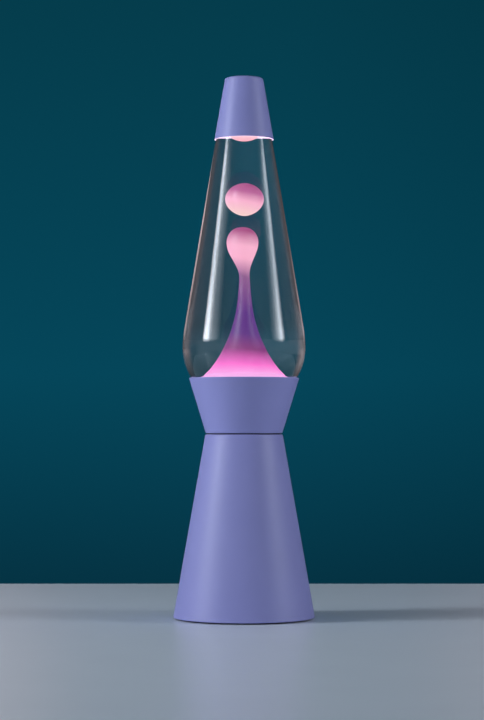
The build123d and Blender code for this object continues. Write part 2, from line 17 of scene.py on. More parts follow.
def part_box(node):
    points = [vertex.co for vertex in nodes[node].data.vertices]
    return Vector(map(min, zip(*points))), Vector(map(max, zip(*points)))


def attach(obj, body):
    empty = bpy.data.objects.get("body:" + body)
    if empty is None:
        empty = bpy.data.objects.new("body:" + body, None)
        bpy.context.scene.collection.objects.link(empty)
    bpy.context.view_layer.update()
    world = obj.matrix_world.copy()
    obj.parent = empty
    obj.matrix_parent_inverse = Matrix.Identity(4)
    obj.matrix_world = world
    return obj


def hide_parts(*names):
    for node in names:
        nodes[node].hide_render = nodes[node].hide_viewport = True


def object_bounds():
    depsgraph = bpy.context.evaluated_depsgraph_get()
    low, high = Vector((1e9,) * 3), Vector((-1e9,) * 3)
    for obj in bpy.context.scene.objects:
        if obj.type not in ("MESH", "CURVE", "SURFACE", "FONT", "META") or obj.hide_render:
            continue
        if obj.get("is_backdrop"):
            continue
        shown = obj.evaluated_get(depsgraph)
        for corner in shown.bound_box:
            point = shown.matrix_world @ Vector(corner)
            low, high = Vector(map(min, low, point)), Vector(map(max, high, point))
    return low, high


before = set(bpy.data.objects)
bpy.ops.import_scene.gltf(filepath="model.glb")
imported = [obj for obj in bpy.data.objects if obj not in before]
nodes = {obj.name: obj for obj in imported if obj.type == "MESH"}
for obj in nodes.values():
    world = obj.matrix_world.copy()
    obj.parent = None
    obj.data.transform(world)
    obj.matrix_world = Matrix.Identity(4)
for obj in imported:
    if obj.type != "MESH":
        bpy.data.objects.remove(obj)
cad_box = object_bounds()
MM = 0.001
print("frame of", len(nodes), "nodes, tall", round(cad_box[1].z / MM, 1), "mm")


def size_of(node):
    """A node's lowest height, highest height and radius about the lamp's axis, in millimetres."""
    low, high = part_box(node)
    return low.z / MM, high.z / MM, (high.x - low.x) / 2 / MM


# %% [markdown]
# ## Turned shapes
# Almost everything here is round about the lamp's axis. On the real lamp the metal is spun over a
# former and the glass is blown in a mould. In Blender the Screw modifier or the Spin tool could turn an
# outline, but a short loop gives full control of where the faces lie and closes the poles cleanly.
# An outline is a list of corners in millimetres. A third number rounds a corner with an arc, because
# no real edge is perfectly sharp, and a rounded edge catches a line of light.

# %% Outlines with rounded corners, and shapes turned from them
def arc(centre, radius, start, end, step=3.0):
    """Points along an arc, with its angles in degrees."""
    steps = max(2, math.ceil(abs(end - start) / step))
    angles = [math.radians(start + (end - start) * i / steps) for i in range(steps + 1)]
    return [(centre[0] + radius * math.cos(a), centre[1] + radius * math.sin(a)) for a in angles]


def rounded(corners, step=12.0):
    """The line through some corners, with an arc at each corner that has a rounding."""
    line = []
    for i, (x, y, *rounding) in enumerate(corners):
        here = Vector((x, y))
        if not rounding:
            line.append(here)
            continue
        before = (Vector(corners[i - 1][:2]) - here).normalized()
        after = (Vector(corners[(i + 1) % len(corners)][:2]) - here).normalized()
        half = before.angle(after) / 2
        centre = here + (before + after).normalized() * rounding[0] / math.sin(half)
        first = here + before * rounding[0] / math.tan(half) - centre
        turn = math.pi - 2 * half
        if first.x * after.y - first.y * after.x < 0:
            turn = -turn
        steps = max(2, math.ceil(abs(math.degrees(turn)) / step))
        line += [centre + Matrix.Rotation(turn * k / steps, 2) @ first for k in range(steps + 1)]
    return [tuple(p) for p in line]


def add_object(name, mesh):
    made = bpy.data.objects.new(name, mesh)
    bpy.context.scene.collection.objects.link(made)
    return made


def turned(name, line, closed=False, around=192, lean=None, slot=None):
    """Turns a line of (radius, height) about Z. lean(height) shifts each ring sideways, and
    slot(radius, height) picks the material slot of the faces that start there."""
    shape = bmesh.new()
    rings = []
    for radius, height in line:
        shift = lean(height) if lean else 0.0
        if radius < 1e-6:
            rings.append([shape.verts.new((shift * MM, 0, height * MM))])
            continue
        turns = [math.tau * i / around for i in range(around)]
        rings.append([
            shape.verts.new(((shift + radius * math.cos(t)) * MM, radius * math.sin(t) * MM, height * MM))
            for t in turns
        ])
    following = rings[1:] + (rings[:1] if closed else [])
    for (radius, height), low, high in zip(line, rings, following):
        for i in range(around):
            j = (i + 1) % around
            loop = [low[i % len(low)], low[j % len(low)], high[j % len(high)], high[i % len(high)]]
            loop = list(dict.fromkeys(loop))
            if len(loop) < 3:
                break
            face = shape.faces.new(loop)
            face.smooth = True
            face.material_index = slot(radius, height) if slot else 0
    bmesh.ops.recalc_face_normals(shape, faces=shape.faces)
    mesh = bpy.data.meshes.new(name)
    shape.to_mesh(mesh)
    shape.free()
    mesh.set_sharp_from_angle(angle=math.radians(40))
    print(name, len(mesh.polygons), "faces")
    return add_object(name, mesh)


# %% [markdown]
# ## Finishes
# Each finish is a small program of shader nodes. Written node by node that is hard to read, so two
# short classes help. Signal wraps a socket and lets numbers be worked with +, -, * and /. Finish makes
# any node in one call. Patterns read Object coordinates, which stay put on the piece as it moves.

# %% The classes that finishes are written with
class Signal:
    """A socket that can be used in sums. Each sum adds a Math node."""

    def __init__(self, finish, socket):
        self.finish, self.socket = finish, socket

    def maths(self, operation, first, second):
        return self.finish.add("ShaderNodeMath", {"operation": operation}, {0: first, 1: second})

    def __add__(self, other):
        return self.maths("ADD", self, other)

    def __sub__(self, other):
        return self.maths("SUBTRACT", self, other)

    def __mul__(self, other):
        return self.maths("MULTIPLY", self, other)

    def __truediv__(self, other):
        return self.maths("DIVIDE", self, other)

    def __rsub__(self, other):
        return self.maths("SUBTRACT", other, self)

    __radd__, __rmul__ = __add__, __mul__

    def power(self, exponent):
        return self.maths("POWER", self, exponent)

    def clipped(self):
        return self.finish.add("ShaderNodeClamp", {}, {"Value": self})

    def part(self, axis):
        """One axis of a vector."""
        return self.finish.add("ShaderNodeSeparateXYZ", {}, {0: self}, axis)


class Finish:
    """A material in the making. shader is its Principled node."""

    def __init__(self, name):
        self.material = bpy.data.materials.new(name)
        self.material.use_nodes = True
        self.tree = self.material.node_tree
        self.shader = self.tree.nodes["Principled BSDF"]
        self.output = self.tree.nodes["Material Output"]
        self.place = self.add("ShaderNodeTexCoord", {}, {}, "Object")
        self.facing = self.add("ShaderNodeTexCoord", {}, {}, "Normal")

    def add(self, kind, settings, values, output=0):
        """Makes a node: first its settings, then the values or links of its sockets."""
        node = self.tree.nodes.new(kind)
        for key, value in settings.items():
            if key == "stops":
                self.set_stops(node.color_ramp, value)
            else:
                setattr(node, key, value)
        for key, value in values.items():
            self.feed(node.inputs[key], value)
        return Signal(self, node.outputs[output])

    @staticmethod
    def set_stops(ramp, stops):
        ramp.elements.remove(ramp.elements[0])
        ramp.elements[0].position = stops[0][0]
        ramp.elements[0].color = (*stops[0][1], 1)
        for position, colour in stops[1:]:
            ramp.elements.new(position).color = (*colour, 1)

    def feed(self, socket, value):
        if isinstance(value, Signal):
            self.tree.links.new(value.socket, socket)
        elif socket.type == "RGBA":
            socket.default_value = (*value, 1) if len(value) == 3 else value
        else:
            socket.default_value = value

    def noise(self, grain, detail=2.0, roughness=0.5):
        """A noise whose grains are about this many millimetres across."""
        values = {"Vector": self.place, "Scale": 1 / (grain * MM), "Detail": detail, "Roughness": roughness}
        return self.add("ShaderNodeTexNoise", {}, values)

    def mix(self, factor, low, high):
        """A colour between two colours. Sockets 6, 7 and output 2 of a Mix node are its colours."""
        return self.add("ShaderNodeMix", {"data_type": "RGBA"}, {0: factor, 6: low, 7: high}, 2)

    def ramp(self, value, stops):
        return self.add("ShaderNodeValToRGB", {"stops": stops}, {"Fac": value})

    def span(self, value, low, high):
        """0 at low, 1 at high, clamped between."""
        return self.add("ShaderNodeMapRange", {}, {"Value": value, "From Min": low, "From Max": high})

    def bump(self, height, depth, strength=1.0):
        """Lets a height pattern of this depth, in millimetres, lift the surface."""
        values = {"Height": height, "Distance": depth * MM, "Strength": strength}
        self.set(Normal=self.add("ShaderNodeBump", {}, values))

    def set(self, **values):
        """Sets sockets of the Principled node: Base_Color=... and so on."""
        for key, value in values.items():
            self.feed(self.shader.inputs[key.replace("_", " ")], value)


def give(finish, *names):
    """Gives CAD nodes a finish, in every slot that they have."""
    for name in names:
        slots = nodes[name].material_slots
        for slot in slots:
            slot.material = finish.material


def srgb(red, green, blue):
    """A colour as painters' charts give it, 0 to 255, as the linear light that shaders use."""
    parts = [c / 255 for c in (red, green, blue)]
    return tuple(c / 12.92 if c <= 0.04045 else ((c + 0.055) / 1.055) ** 2.4 for c in parts)


# %% [markdown]
# ## The lavender powder coat
# The two cones and the cap are spun aluminium with a satin powder coat. Powder melts into a skin that
# is level but never flat: it keeps a faint orange peel, a few tenths of a millimetre deep in waves
# about two millimetres long, and a much finer tooth that makes it satin. The colour hardly varies. A
# low, broad noise in colour and roughness keeps it from looking like plastic film.

# %% Paint the stand and the cap
def powder_coat():
    coat = Finish("lavender powder coat")
    broad = coat.noise(26.0, detail=3.0)
    fine = coat.noise(0.35, detail=2.0)
    peel = coat.noise(1.6, detail=2.0, roughness=0.55)
    colour = coat.mix(broad, srgb(139, 143, 203), srgb(147, 150, 210))
    colour = coat.mix(fine * 0.16, colour, srgb(112, 116, 176))
    coat.set(Base_Color=colour, Roughness=0.40 + broad * 0.09 + fine * 0.05)
    coat.set(Specular_IOR_Level=0.5)
    coat.bump(peel * 0.6 + fine * 0.4, 0.012, 0.6)
    return coat


give(powder_coat(), "base_cone", "collar", "cap")


# %% [markdown]
# ## Bare metals
# Inside the stand the metals are plain working metals: zinc-plated steel, drawn brass, aluminium rivets.
# Their colour is nearly even, and what tells them apart is how light streaks over them. A noise that
# is squeezed along one axis gives drawn or rolled metal its grain.

# %% Make the metals
def worked_metal(name, dark, light, roughness, grain=(1.0, 1.0, 9.0), tarnish=0.0):
    metal = Finish(name)
    squeeze = metal.add("ShaderNodeVectorMath", {"operation": "MULTIPLY"}, {0: metal.place, 1: grain})
    values = {"Vector": squeeze, "Scale": 1 / (1.4 * MM), "Detail": 3.0}
    streaks = metal.add("ShaderNodeTexNoise", {}, values)
    clouds = metal.noise(7.0, detail=4.0)
    worn = (clouds * 0.6 + streaks * 0.4).clipped()
    colour = metal.mix(worn, dark, light)
    if tarnish:
        colour = metal.mix((metal.noise(2.5, 5.0) - 0.55).clipped() * tarnish, colour, srgb(70, 58, 44))
    metal.set(Base_Color=colour, Metallic=1.0, Roughness=roughness + streaks * 0.16)
    metal.bump(streaks, 0.006, 0.5)
    return metal


zinc = worked_metal("zinc-plated steel", srgb(150, 154, 158), srgb(196, 200, 204), 0.26)
aluminium = worked_metal("rivet aluminium", srgb(176, 177, 180), srgb(214, 215, 217), 0.28)
brass = worked_metal("drawn brass", srgb(178, 140, 70), srgb(222, 188, 112), 0.20, tarnish=1.6)
tinplate = worked_metal("lacquered tinplate", srgb(186, 160, 104), srgb(220, 198, 146), 0.24)
coil_steel = worked_metal("bright coil wire", srgb(128, 128, 132), srgb(182, 182, 186), 0.22)
alloy = worked_metal("pressed bulb alloy", srgb(182, 182, 180), srgb(216, 216, 214), 0.24)
solder = worked_metal("dull solder", srgb(126, 128, 132), srgb(170, 172, 176), 0.42)
give(zinc, "bottom_plate", "plate_screws", "socket_bracket", "socket_nipple", "nipple_nuts", "filament_wires")
give(aluminium, "neck_rivets", "plate_lugs", "bracket_rivets")
give(brass, "socket_shell", "socket_contact", "terminal_screws")
give(solder, "bulb_tip")


# %% [markdown]
# ## Rubber, phenolic and moulded plastic
# These are dark, so their look is all in the way that they reflect. Rubber is rough and carries dust,
# phenolic has a deep brown gloss with faint flow marks, and moulded plastic has an even fine grain.

# %% Make the dark mouldings
def moulding(name, dark, light, roughness, grain, depth):
    skin = Finish(name)
    tooth = skin.noise(grain, detail=2.0)
    flow = skin.noise(6.0, detail=4.0, roughness=0.6)
    skin.set(Base_Color=skin.mix(flow, dark, light), Roughness=roughness + flow * 0.12 + tooth * 0.06)
    skin.bump(tooth, depth, 0.6)
    return skin


rubber = moulding("foot rubber", srgb(26, 26, 27), srgb(44, 43, 43), 0.72, 0.5, 0.03)
nylon = moulding("gland nylon", srgb(20, 20, 22), srgb(32, 32, 34), 0.42, 0.4, 0.012)
phenolic = moulding("brown phenolic", srgb(38, 22, 16), srgb(66, 40, 28), 0.20, 1.2, 0.008)
spacer = moulding("neck spacer", srgb(24, 23, 30), srgb(36, 35, 44), 0.55, 0.5, 0.012)
black_glass = moulding("insulator glass", srgb(14, 14, 18), srgb(26, 26, 32), 0.10, 1.0, 0.004)
liner = moulding("crown liner", srgb(176, 174, 168), srgb(206, 204, 198), 0.5, 0.6, 0.01)
give(rubber, "rubber_feet")
give(nylon, "cord_gland", "gland_nut")
give(phenolic, "socket_body")
give(spacer, "neck_ring")
give(black_glass, "bulb_insulator")
give(liner, "crown_liner")


# %% [markdown]
# ## Clear glass, and glass with liquid behind it
# Light bends where two clear things meet, by the ratio of their indices: 1.5 from air into glass, but
# only about 1.13 from liquid into glass. The outside and the dry neck of the bottle get the first, and
# the inner wall below the liquid's level the second. With that, the bottle magnifies what is in it
# sideways, as the real one does. The liquid itself is then a faint tint that bends nothing.
# Lamps shine through the glass: its pieces cast no shadow, which saves the wax from being lit only by
# chance paths.

# %% Make the glasses
GLASS_INDEX = 1.50
LIQUID_INDEX = 1.34


def clear(name, index, tint, roughness=0.0):
    glass = Finish(name)
    glass.set(Base_Color=tint, Roughness=roughness, IOR=index, Transmission_Weight=1.0)
    return glass


def wavy(glass, depth=0.004):
    """Blown glass is never quite even: a slow ripple bends what is seen in it a little."""
    glass.bump(glass.noise(19.0, detail=1.0), depth, 0.5)
    return glass


bottle_glass = wavy(clear("bottle glass", GLASS_INDEX, (0.985, 0.99, 0.985)))
wet_glass = wavy(clear("bottle glass against liquid", GLASS_INDEX / LIQUID_INDEX, (0.985, 0.99, 0.985)))
liquid_tint = clear("clear liquid", 1.0, (0.97, 0.985, 0.985))
lamp_glass = wavy(clear("bulb glass", 1.5, (0.99, 0.99, 0.99)), 0.01)
stem_glass = wavy(clear("stem glass", 1.5, (0.97, 0.98, 0.97)), 0.02)
give(stem_glass, "bulb_stem")


# %% [markdown]
# ## The bottle
# The bottle's outline is four arcs and two straight tapers. It is made as one closed skin: up the
# outside, over the lip, and down the inside, so that the wall has its real thickness. The fine steps
# matter more here than anywhere, because each facet of clear glass would show as a line.

# %% Turn the bottle
FOOT_Z, MOUTH_Z, BELLY_RADIUS = size_of("bottle")
LIQUID_Z = size_of("liquid")[1]
WALL = 2.6
BELLY_Z = 183.6
UPPER_ARC, LOWER_ARC, WAIST_ARC = 80.0, 38.0, 12.0
TAPER, WAIST_TURN, FOOT_SLOPE = 9.455, 32.0, 16.7
SHOULDER_Z, FINISH_Z = 338.0, 343.5


def bottle_side(inset):
    """The outline from the foot up to the shoulder, moved in by inset."""
    belly = (BELLY_RADIUS - LOWER_ARC, BELLY_Z)
    waist_turn = math.radians(WAIST_TURN)
    reach = LOWER_ARC + WAIST_ARC
    waist = (belly[0] + reach * math.cos(waist_turn), belly[1] - reach * math.sin(waist_turn))
    line = arc(waist, WAIST_ARC + inset, 180 - FOOT_SLOPE, 180 - WAIST_TURN, 1.5)
    line += arc(belly, LOWER_ARC - inset, -WAIST_TURN, 0, 1.0)[1:]
    line += arc((BELLY_RADIUS - UPPER_ARC, BELLY_Z), UPPER_ARC - inset, 0, TAPER, 0.4)[1:]
    low, high = line[0], line[-1]
    foot = (low[0] - (low[1] - FOOT_Z) * math.tan(math.radians(FOOT_SLOPE)), FOOT_Z)
    shoulder = (high[0] - (SHOULDER_Z - high[1]) * math.tan(math.radians(TAPER)), SHOULDER_Z)
    return foot, line, shoulder


def wall_line():
    foot, side, shoulder = bottle_side(0)
    under = rounded([
        (0, FOOT_Z + 3.5), (20.9, FOOT_Z + 2.0, 1.0), (22.9, FOOT_Z, 0.4), (*foot, 1.4), side[0],
    ])
    neck = rounded([
        side[-1], (*shoulder, 6.0), (12.9, FINISH_Z, 2.0), (12.9, MOUTH_Z - 4.6), (13.3, MOUTH_Z - 4.1, 0.2),
        (13.3, MOUTH_Z - 1.6, 0.3), (12.3, MOUTH_Z, 0.6), (10.0, MOUTH_Z, 0.8), (10.0, MOUTH_Z - 6.0),
    ])
    return under[:-1] + side + neck[1:]


def bore_line(inset=WALL):
    """The inner surface from the mouth down to the middle of the floor."""
    foot, side, shoulder = bottle_side(inset)
    heel_z = FOOT_Z + 4.1
    heel = (foot[0] + 4.1 * math.tan(math.radians(FOOT_SLOPE)), heel_z)
    down = side[::-1]
    throat = 10.0 - (inset - WALL)
    top = rounded([(throat, MOUTH_Z - 6.0), (throat, FINISH_Z, 3.0), (*shoulder, 4.0), down[0]], step=6.0)
    low = rounded([down[-1], (*heel, 3.0), (0, FOOT_Z + 7.6)], step=6.0)
    return top[:-1] + down + low[1:]


whole = wall_line() + bore_line()[1:]
wet_points = {p for p in bore_line() if p[1] <= LIQUID_Z}
bottle = turned("glass_bottle", whole, around=256, slot=lambda r, z: 1 if (r, z) in wet_points else 0)
bottle.data.materials.append(bottle_glass.material)
bottle.data.materials.append(wet_glass.material)
bottle.visible_shadow = False


# %% [markdown]
# ## The liquid
# The liquid fills the bottle to just below the mouth. It is one closed body a hair inside the glass,
# with the small upturned edge that a liquid has where it wets a wall.

# %% Fill the bottle
FILM = 0.06


def liquid_line():
    inner = bore_line(WALL + FILM)
    below = [p for p in inner if p[1] < LIQUID_Z - 0.8]
    edge_radius = below[0][0]
    surface = [(0, LIQUID_Z - 0.4), (edge_radius - 2.2, LIQUID_Z - 0.4), (edge_radius - 0.8, LIQUID_Z - 0.2)]
    last_z = FOOT_Z + 7.6 + FILM
    return surface + [(edge_radius - 0.1, LIQUID_Z)] + below[:-1] + [(0, last_z)]


liquid = turned("clear_liquid", liquid_line(), around=192)
liquid.data.materials.append(liquid_tint.material)
liquid.visible_shadow = False


# %% [markdown]
# ## Wax lit from below
# The wax is a translucent paraffin. The bulb shines up through it, so it glows: nearly white where the
# pool takes the light in, deep violet up the cooler stem where little light gets, and pink again in the
# round head, which gathers light from below like a lens. The free blobs are bright underneath and
# mauve on top. Subsurface light could be simulated, but it would need the bulb's light to find its
# way through three layers of glass. Painting the glow by height and by which way the surface faces is
# steady, and it goes with the piece when it's exported.
# A short palette names the colours that should be seen. The glass in front adds a thin veil of light
# from the room and so does the wax's own skin, so glow() takes the veil off first.

# %% Make the wax finishes
VEIL = (0.10, 0.052, 0.105)
GLASS_PASSES = 0.90


def glow(red, green, blue):
    """The light that has to come out of the wax for this colour to be seen."""
    return tuple(max(c - veil, 0) / GLASS_PASSES for c, veil in zip(srgb(red, green, blue), VEIL))


WAX_SKIN = srgb(69, 36, 69), srgb(76, 40, 75)


def wax(name, heights, tilt=0.0, skin=WAX_SKIN):
    """Soft wax with a glow painted by height, in millimetres. tilt paints shade on one side: faces turned that way
    take the dimmer glow of a greater height.
    """
    body = Finish(name)
    low, high = heights[0][0], heights[-1][0]
    clouds = body.noise(9.0, detail=2.0)
    level = body.place.part(2) / MM + body.facing.part(0) * tilt + (clouds - 0.5) * 1.2
    stops = [((z - low) / (high - low), glow(*colour)) for z, colour in heights]
    body.set(Base_Color=body.mix(clouds, *skin), Roughness=0.42)
    body.set(Emission_Color=body.ramp(body.span(level, low, high), stops), Emission_Strength=1.0)
    body.bump(clouds, 0.03, 0.3)
    return body


def above(low, high, steps):
    """Turns shares of a blob's height into heights."""
    return [(low + share * (high - low), colour) for share, colour in steps]


COLUMN_HIGH = size_of("wax_column")[1]
BLOB_LOW, BLOB_HIGH, BLOB_RADIUS = size_of("wax_blob")
TOP_LOW, TOP_HIGH, TOP_RADIUS = size_of("top_wax_blob")
PALE_PINK, HOT_PINK = (250, 180, 240), (250, 120, 210)
PLUM, VIOLET, MAUVE = (140, 70, 130), (110, 70, 140), (150, 100, 150)
CREAM, SHELL, SALMON = (250, 210, 210), (250, 210, 230), (240, 170, 190)
ROSE, ORCHID, DUSK = (250, 180, 210), (190, 110, 160), (170, 90, 140)
# Each list below is painted light: the bulb's light from below shown as glow by height, bright where light comes in
# and dim violet where little reaches.
column_wax = wax("wax of the column", [
    (166, PALE_PINK), (174, HOT_PINK), (183, PLUM), (192, VIOLET), (206, VIOLET),
    (230, MAUVE), (243, ROSE), (251, ROSE), (262, DUSK),
], tilt=1.2)
blob_wax = wax("wax of the free blob", above(BLOB_LOW, BLOB_HIGH, [
    (0.0, CREAM), (0.45, ROSE), (0.75, ORCHID), (1.0, DUSK),
]), tilt=2.2)
top_wax = wax("wax of the top blob", above(TOP_LOW, TOP_HIGH, [
    (0.0, SALMON), (0.25, SHELL), (0.5, ROSE), (1.0, ORCHID),
]), skin=(srgb(30, 18, 26), srgb(34, 20, 29)))


# %% [markdown]
# ## The shapes of the wax
# The wax at the bottom is one body: a pool on the floor, a mound, a thin stem that is about to part,
# and a head like a drop. A curve that falls off evenly, as an exponential does, is what a pulled liquid
# makes, so it shapes the mound and the stem. The stem then swells smoothly into the head, which ends in
# half an egg and has drifted a little to one side, as a plume does. Each half of an egg's outline is a
# power of a cosine: 1 gives an ellipse, and a little more draws the end out, as the underside of a
# rising blob is.

# %% Shape the wax
def smooth_line(points, steps=8):
    """A smooth line through (radius, height) points, by Catmull-Rom's rule."""
    points = [Vector(p) for p in points]
    ends = [2 * points[0] - points[1], *points, 2 * points[-1] - points[-2]]
    line = []
    for a, b, c, d in zip(ends, ends[1:], ends[2:], ends[3:]):
        for i in range(steps):
            t = i / steps
            bend = (2 * b) + (c - a) * t + (2 * a - 5 * b + 4 * c - d) * t**2 + (3 * b - a - 3 * c + d) * t**3
            line.append(tuple(bend / 2))
    return line + [tuple(points[-1])]


def smooth_step(value, low, high):
    t = min(max((value - low) / (high - low), 0.0), 1.0)
    return t * t * (3 - 2 * t)


POOL_Z = 158.5
MOUND_FOOT = (26.5, 163.0)
MOUND_RADIUS, MOUND_Z, MOUND_FALL = 22.0, 169.0, 17.5
STEM_RADIUS, NECK_Z = 2.0, 230.0
HEAD_RADIUS, HEAD_Z = 8.1, 253.0


def column_radius(height):
    """The mound's fall to the stem, and the stem's swelling into the head."""
    fall = math.exp((MOUND_Z - height) / MOUND_FALL)
    stem = STEM_RADIUS + (MOUND_RADIUS - STEM_RADIUS) * fall
    return stem + (HEAD_RADIUS - stem) * smooth_step(height, NECK_Z, HEAD_Z)


def column_line():
    pool = [p for p in bore_line(WALL + 0.12) if p[1] < POOL_Z][::-1]
    heights = [MOUND_Z + (HEAD_Z - MOUND_Z) * i / 20 for i in range(21)]
    side = smooth_line([pool[-1], MOUND_FOOT] + [(column_radius(z), z) for z in heights])
    head = egg_line(HEAD_Z, COLUMN_HIGH, HEAD_RADIUS, 0.0, 0.85, 1.0)
    return [(0, FOOT_Z + 7.75)] + pool[1:] + side[1:] + [p for p in head if p[1] > HEAD_Z + 0.01]


def column_lean(height):
    """How far to the side the plume stands at a height."""
    return 0.25 * smooth_step(height, 158, 172) - 1.1 * smooth_step(height, 226, 248)


def egg_line(low, high, radius, widest, upper, lower):
    """The outline of an egg that is widest at this share of its height."""
    middle = low + widest * (high - low)
    line = [(0, low)]
    for turn in range(-88, 89, 4):
        end, power = (high, upper) if turn > 0 else (low, lower)
        up = math.sin(math.radians(turn)) * abs(end - middle)
        line.append((radius * math.cos(math.radians(turn)) ** power, middle + up))
    return line + [(0, high)]


column = turned("wax_column_shape", column_line(), around=160, lean=column_lean)
column.data.materials.append(column_wax.material)
blob_shape = egg_line(BLOB_LOW, BLOB_HIGH, BLOB_RADIUS, 0.52, 1.05, 1.14)
blob = turned("wax_blob_shape", blob_shape, around=128, lean=lambda height: 0.2)
blob.data.materials.append(blob_wax.material)
top_blob_shape = egg_line(TOP_LOW, TOP_HIGH, TOP_RADIUS, 0.5, 1.0, 1.0)
top_blob = turned("top_wax_blob_shape", top_blob_shape, around=128)
top_blob.data.materials.append(top_wax.material)
for piece in (column, blob, top_blob):
    piece.visible_shadow = False


# %% [markdown]
# ## A ripple for what is crimped or threaded
# The crown's skirt is crimped into flutes, and the bulb's shell is rolled into a screw thread. Both are
# a thin turned sheet whose radius rises and falls: with the angle round it for flutes, and with angle
# and height together for a thread. Modelling every ridge by hand would be slow, so one Geometry Nodes
# tree does both. It moves each point outwards by a sine of (ridges × angle + height ÷ pitch), and the
# ripple fades out between two heights.

# %% Build the ripple tree and the helper that applies a tree
class Tree:
    """A Geometry Nodes tree in the making, with one geometry in and out."""

    def __init__(self, name, inputs):
        self.group = bpy.data.node_groups.new(name, "GeometryNodeTree")
        face = self.group.interface
        face.new_socket("Geometry", in_out="INPUT", socket_type="NodeSocketGeometry")
        face.new_socket("Geometry", in_out="OUTPUT", socket_type="NodeSocketGeometry")
        kinds = {"material": "NodeSocketMaterial", "count": "NodeSocketInt"}
        for label, kind in inputs.items():
            face.new_socket(label, in_out="INPUT", socket_type=kinds.get(kind, "NodeSocketFloat"))
        self.start = self.group.nodes.new("NodeGroupInput")
        self.end = self.group.nodes.new("NodeGroupOutput")

    def given(self, label):
        return self.start.outputs[label]

    def add(self, kind, settings=None, values=None, output=0):
        node = self.group.nodes.new(kind)
        for key, value in (settings or {}).items():
            setattr(node, key, value)
        for key, value in (values or {}).items():
            if isinstance(value, bpy.types.NodeSocket):
                self.group.links.new(value, node.inputs[key])
            else:
                node.inputs[key].default_value = value
        return node.outputs[output]

    def maths(self, operation, first, second=0.0):
        return self.add("ShaderNodeMath", {"operation": operation}, {0: first, 1: second})

    def finish(self, geometry):
        """Ends the tree: real geometry, with its material."""
        real = self.add("GeometryNodeRealizeInstances", None, {0: geometry})
        values = {0: real, "Material": self.given("Material")}
        self.group.links.new(self.add("GeometryNodeSetMaterial", None, values), self.end.inputs[0])


def grown(name, tree, around, **values):
    """Applies a tree to an object and keeps the result as a plain mesh."""
    modifier = around.modifiers.new("grow", "NODES")
    modifier.node_group = tree.group
    for item in tree.group.interface.items_tree:
        if item.in_out == "INPUT" and item.name in values:
            modifier[item.identifier] = values[item.name]
    seen = around.evaluated_get(bpy.context.evaluated_depsgraph_get())
    mesh = bpy.data.meshes.new_from_object(seen)
    mesh.name = name
    bpy.data.objects.remove(around)
    mesh.shade_smooth()
    mesh.set_sharp_from_angle(angle=math.radians(50))
    print(name, len(mesh.polygons), "faces")
    return add_object(name, mesh)


def ripple_tree():
    labels = ["Ridges", "Pitch", "Depth", "Low", "High", "Fade"]
    tree = Tree("ripple", {**{label: "number" for label in labels}, "Material": "material"})
    place = tree.add("GeometryNodeInputPosition")
    x = tree.add("ShaderNodeSeparateXYZ", None, {0: place}, 0)
    y = tree.add("ShaderNodeSeparateXYZ", None, {0: place}, 1)
    z = tree.add("ShaderNodeSeparateXYZ", None, {0: place}, 2)
    turn = tree.maths("MULTIPLY", tree.maths("ARCTAN2", y, x), tree.given("Ridges"))
    climb = tree.maths("MULTIPLY", tree.maths("DIVIDE", z, tree.given("Pitch")), math.tau)
    wave = tree.maths("COSINE", tree.maths("ADD", turn, climb))
    from_low = tree.maths("DIVIDE", tree.maths("SUBTRACT", z, tree.given("Low")), tree.given("Fade"))
    from_high = tree.maths("DIVIDE", tree.maths("SUBTRACT", tree.given("High"), z), tree.given("Fade"))
    share = tree.maths("MINIMUM", tree.maths("MINIMUM", from_low, from_high), 1.0)
    share = tree.maths("MAXIMUM", share, 0.0)
    height = tree.maths("MULTIPLY", tree.maths("MULTIPLY", wave, share), tree.given("Depth"))
    flat = tree.add("ShaderNodeCombineXYZ", None, {0: x, 1: y})
    out = tree.add("ShaderNodeVectorMath", {"operation": "NORMALIZE"}, {0: flat})
    move = tree.add("ShaderNodeVectorMath", {"operation": "SCALE"}, {0: out, "Scale": height})
    tree.finish(tree.add("GeometryNodeSetPosition", None, {0: tree.given("Geometry"), "Offset": move}))
    return tree


ripple = ripple_tree()


# %% [markdown]
# ## The crown cap
# The bottle is closed by a crown of thin lacquered tinplate, crimped under the mouth's ring in 21
# flutes, the number that every crown has. The loose cap hides it, so it shows when the cap is off.

# %% Crimp the crown
CROWN_LOW, CROWN_HIGH, CROWN_RADIUS = size_of("crown_cap")
CROWN_FLUTES = 21
SHEET = 0.4


def crown_line():
    """The sheet's outline, closed: over the top and down the skirt, then back up inside."""
    skirt = CROWN_RADIUS - 1.1
    out = rounded([(0, CROWN_HIGH), (skirt, CROWN_HIGH, 1.2), (skirt + 0.1, CROWN_LOW + 3.4, 1.4),
                   (CROWN_RADIUS - 0.35, CROWN_LOW)], step=8.0)
    steps = 10
    low, high = out[-1], out[-2]
    skirt_points = [
        (high[0] + (low[0] - high[0]) * i / steps, high[1] + (low[1] - high[1]) * i / steps)
        for i in range(1, steps + 1)
    ]
    outside = out[:-1] + skirt_points
    inside = [(max(r - SHEET, 0), z - SHEET * (z > CROWN_HIGH - 1.5)) for r, z in reversed(outside[1:])]
    return outside + inside[:-1] + [(0, CROWN_HIGH - SHEET)]


crown = grown(
    "crimped_crown", ripple, turned("crown_sheet", crown_line(), around=21 * 16),
    Ridges=float(CROWN_FLUTES), Pitch=1e6, Depth=0.34 * MM, Low=(CROWN_LOW - 5) * MM,
    High=(CROWN_LOW + 3.6) * MM, Fade=2.6 * MM, Material=tinplate.material,
)


# %% [markdown]
# ## The bulb
# The bulb is a small clear one with an intermediate screw base. Its glass is blown thin, so it is made
# as a skin with a real wall, and the shell is rolled into a real right-handed thread by the same
# ripple as the crown.

# %% Blow the bulb and roll its thread
GLASS_LOW, GLASS_HIGH, GLASS_RADIUS = size_of("bulb_glass")
SHELL_LOW, SHELL_HIGH, SHELL_RADIUS = size_of("bulb_shell")
THREAD_PITCH = 2.822
NECK_RADIUS = 7.0


